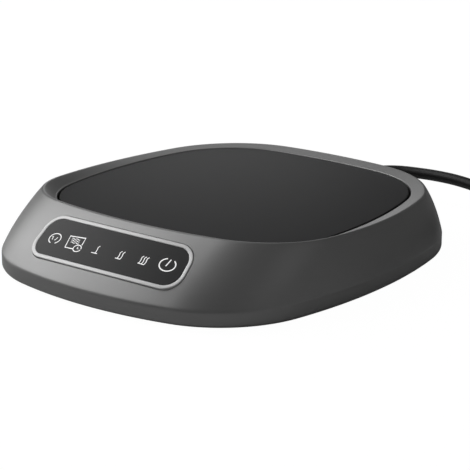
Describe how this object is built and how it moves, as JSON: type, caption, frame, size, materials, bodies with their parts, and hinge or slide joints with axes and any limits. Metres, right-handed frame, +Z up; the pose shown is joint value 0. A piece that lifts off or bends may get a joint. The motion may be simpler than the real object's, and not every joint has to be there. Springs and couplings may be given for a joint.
{
  "type": "electric mug warmer",
  "caption": "Flat desk mug warmer: flared housing, dished rim round a flush glass heating plate, sloping touch panel at the front and a slim supply cord at the back.",
  "frame": {"origin": "bottom centre of the housing, on the surface that the rubber feet stand on", "axes": "+Z up, -Y towards the control panel, +X to the right as seen from the panel"},
  "size_m": [0.1636, 0.2139, 0.0223],
  "materials": {
    "housing_plastic": "fine matt moulding",
    "base_plastic": "fine matt moulding",
    "foot_rubber": "matt",
    "screw_steel": "zinc plated",
    "black_glass": "polished, black all through",
    "seal_silicone": "matt silicone",
    "spreader_aluminium": "rolled",
    "heater_film": "amber film",
    "pad_felt": "needle felt",
    "sheet_steel": "rolled sheet",
    "sensor_resin": "dipped resin",
    "fuse_ceramic": "glazed",
    "bezel_metal": "satin silver",
    "lens_plastic": "gloss smoked",
    "white_plastic": "white moulding",
    "spring_bronze": "drawn wire",
    "led_resin": "clear resin",
    "board_green": "solder mask",
    "chip_black": "moulded resin",
    "can_aluminium": "plain can",
    "ivory_plastic": "natural nylon",
    "flat_cable": "flexible sheath",
    "lead_red": "silicone sleeve",
    "cord_black": "matt soft vinyl",
    "plug_steel": "nickel plated"
  },
  "bodies": {
    "root": {"upper_housing": "housing_plastic", "base_cover": "base_plastic", "rubber_feet": "foot_rubber", "base_screws": "screw_steel", "glass_plate": "black_glass", "glass_seal": "seal_silicone", "heat_spreader": "spreader_aluminium", "film_heater": "heater_film", "insulation_pad": "pad_felt", "heater_retainer": "sheet_steel", "retainer_screws": "screw_steel", "temperature_sensor": "sensor_resin", "thermal_fuse": "fuse_ceramic", "control_bezel": "bezel_metal", "touch_lens": "lens_plastic", "light_box": "white_plastic", "touch_springs": "spring_bronze", "indicator_leds": "led_resin", "control_board": "board_green", "touch_chip": "chip_black", "control_board_screws": "screw_steel", "power_board": "board_green", "power_board_screws": "screw_steel", "power_transistors": "chip_black", "smoothing_capacitor": "can_aluminium", "power_inductor": "chip_black", "wire_connectors": "ivory_plastic", "buzzer": "chip_black", "ribbon_cable": "flat_cable", "heater_leads": "lead_red", "supply_leads": "cord_black", "cord_clamp": "base_plastic", "clamp_screws": "screw_steel", "strain_relief": "cord_black", "power_cord": "cord_black", "cord_coil": "cord_black", "cord_tail": "cord_black", "plug_body": "cord_black", "plug_shell": "plug_steel", "plug_contacts": "ivory_plastic"}
  },
  "joints": []
}
